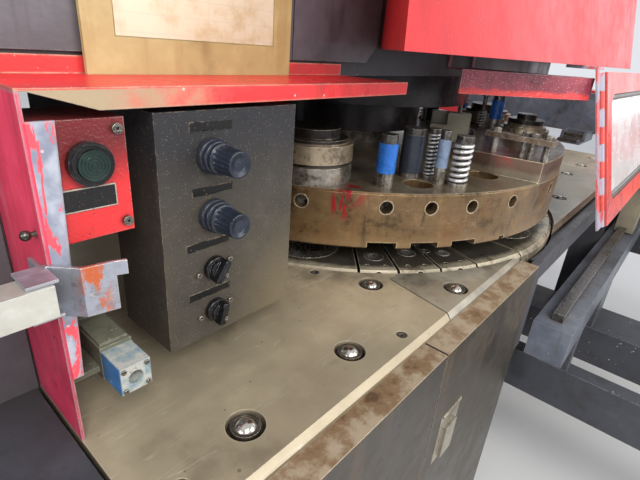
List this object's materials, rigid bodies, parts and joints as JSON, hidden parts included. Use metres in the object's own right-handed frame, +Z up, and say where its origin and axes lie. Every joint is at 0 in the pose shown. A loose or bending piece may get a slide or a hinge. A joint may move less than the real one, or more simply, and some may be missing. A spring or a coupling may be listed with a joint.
{
  "type": "cnc turret punch press",
  "caption": "C-frame turret punch press: twin turning turrets with punch and die stations, tables with transfer balls, guards, regulator box, guard door and a sheet carriage on rails",
  "frame": {"origin": "on the floor under the common axis of the two turrets", "axes": "+X from the column towards the throat's mouth and the sheet carriage, +Y towards the rear guard, +Z up; the tool change side with the switch boxes and the door is at -Y"},
  "size_m": [3.912, 2.96, 1.92],
  "materials": {
    "frame_paint": "dark blue-grey machine paint, worn",
    "red_paint": "worn bright red paint",
    "box_paint": "black textured paint",
    "turret_steel": "brown oxidised steel, oily",
    "tool_steel": "ground steel",
    "holder_steel": "bare steel, straw coloured",
    "table_steel": "worn steel plate",
    "ball_steel": "polished balls",
    "spring_steel": "pale coated spring wire",
    "blue_sleeve": "blue sleeve",
    "dark_sleeve": "dark sleeve",
    "pale_sleeve": "pale blue sleeve",
    "cream": "cream lacquer, oily",
    "chart": "yellowed plastic sleeve",
    "black_plastic": "black plastic",
    "lens": "dark green lens",
    "aluminium": "plain aluminium",
    "switch_grey": "grey-green enamel",
    "pane": "hazy clear pane in a grey gasket"
  },
  "bodies": {
    "frame": {"c_frame": "frame_paint", "levelling_feet": "tool_steel", "frame_covers": "frame_paint", "turret_hood": "red_paint", "rear_guard": "frame_paint", "turret_bearings": "frame_paint", "table_frame": "frame_paint", "inner_table": "table_steel", "corner_plates": "table_steel", "outer_table": "table_steel", "column_tables": "table_steel", "ball_cups": "tool_steel", "transfer_balls": "ball_steel", "panel_screws": "tool_steel", "side_covers": "table_steel", "side_guard": "red_paint", "guard_roof": "red_paint", "jog_box": "red_paint", "jog_bezel": "black_plastic", "pressure_box": "box_paint", "chart_sleeve": "chart", "latch_keeper": "tool_steel", "switch_body": "switch_grey", "switch_head": "blue_sleeve", "far_guard": "red_paint", "guard_post": "red_paint", "rail_beams": "frame_paint", "linear_rails": "tool_steel"},
    "upper_turret": {"upper_turret": "turret_steel", "upper_shaft": "tool_steel", "punch_guides": "tool_steel", "punches": "tool_steel", "blue_canisters": "blue_sleeve", "dark_canisters": "dark_sleeve", "pale_canisters": "pale_sleeve", "punch_springs": "spring_steel", "driven_spring": "spring_steel", "large_punches": "cream", "clamp_bar": "turret_steel", "bar_bolts": "tool_steel", "index_block": "cream"},
    "lower_turret": {"lower_turret": "turret_steel", "die_holders": "holder_steel", "dies": "tool_steel"},
    "driven_punch": {"driven_punch": "tool_steel"},
    "ram": {"ram": "tool_steel"},
    "high_knob": {"high_knob": "black_plastic"},
    "low_knob": {"low_knob": "black_plastic"},
    "high_selector": {"high_selector": "black_plastic"},
    "low_selector": {"low_selector": "black_plastic"},
    "jog_button": {"jog_button": "lens"},
    "switch_plunger": {"switch_plunger": "tool_steel"},
    "latch_arm": {"latch_arm": "aluminium"},
    "cover_latch": {"cover_latch": "tool_steel"},
    "guard_door": {"guard_door": "red_paint", "door_window": "pane"},
    "carriage": {"wing_tables": "table_steel", "carriage_beam": "frame_paint"},
    "cross_slide": {"cross_slide": "tool_steel"},
    "clamp_jaws": {"clamp_jaws": "tool_steel"}
  },
  "joints": [
    {"name": "upper_turret_turn", "type": "hinge", "parent": "frame", "child": "upper_turret", "pos_m": [0, 0, 1], "axis": [0, 0, 1], "continuous": true},
    {"name": "lower_turret_turn", "type": "hinge", "parent": "frame", "child": "lower_turret", "pos_m": [0, 0, 0.8], "axis": [0, 0, 1], "continuous": true},
    {"name": "ram_stroke", "type": "slide", "parent": "frame", "child": "ram", "axis": [0, 0, -1], "range_m": [0, 0.034]},
    {"name": "punch_stroke", "type": "slide", "parent": "upper_turret", "child": "driven_punch", "axis": [0, 0, -1], "range_m": [0, 0.034], "stiffness_N_per_m": 300, "springref_m": -0.01, "deforming": ["driven_spring"]},
    {"name": "high_knob_turn", "type": "hinge", "parent": "frame", "child": "high_knob", "pos_m": [-0.706, -0.395, 1.119], "axis": [0, 1, 0], "range_deg": [-135, 135]},
    {"name": "low_knob_turn", "type": "hinge", "parent": "frame", "child": "low_knob", "pos_m": [-0.706, -0.395, 1.061], "axis": [0, 1, 0], "range_deg": [-135, 135]},
    {"name": "high_selector_turn", "type": "hinge", "parent": "frame", "child": "high_selector", "pos_m": [-0.706, -0.395, 1.003], "axis": [0, -1, 0], "range_deg": [-12, 78]},
    {"name": "low_selector_turn", "type": "hinge", "parent": "frame", "child": "low_selector", "pos_m": [-0.706, -0.395, 0.953], "axis": [0, -1, 0], "range_deg": [-30, 60]},
    {"name": "jog_button_press", "type": "slide", "parent": "frame", "child": "jog_button", "axis": [0, 1, 0], "range_m": [0, 0.004], "stiffness_N_per_m": 400, "springref_m": -0.002},
    {"name": "switch_plunger_press", "type": "slide", "parent": "frame", "child": "switch_plunger", "axis": [0, -1, 0], "range_m": [0, 0.005], "stiffness_N_per_m": 400, "springref_m": -0.002},
    {"name": "latch_arm_swing", "type": "hinge", "parent": "frame", "child": "latch_arm", "pos_m": [-0.869, -0.414, 1.04], "axis": [0, 0, 1], "range_deg": [0, 90]},
    {"name": "cover_latch_pull", "type": "hinge", "parent": "frame", "child": "cover_latch", "pos_m": [-0.412, -0.574, 0.735], "axis": [1, 0, 0], "range_deg": [-60, 0]},
    {"name": "guard_door_swing", "type": "hinge", "parent": "frame", "child": "guard_door", "pos_m": [0.156, -0.619, 0.898], "axis": [0, 0.2807, 0.9598], "range_deg": [-100, 0]},
    {"name": "carriage_travel", "type": "slide", "parent": "frame", "child": "carriage", "axis": [-1, 0, 0], "range_m": [0, 0.8]},
    {"name": "cross_travel", "type": "slide", "parent": "carriage", "child": "cross_slide", "axis": [0, 1, 0], "range_m": [-0.6, 0.6]},
    {"name": "clamp_jaws_open", "type": "hinge", "parent": "cross_slide", "child": "clamp_jaws", "pos_m": [1.48, 0, 0.914], "axis": [0, 1, 0], "range_deg": [0, 12]}
  ],
  "couplings": [
    {"joint": "lower_turret_turn", "follows": "upper_turret_turn", "ratio": 1},
    {"joint": "punch_stroke", "follows": "ram_stroke", "ratio": 1}
  ]
}
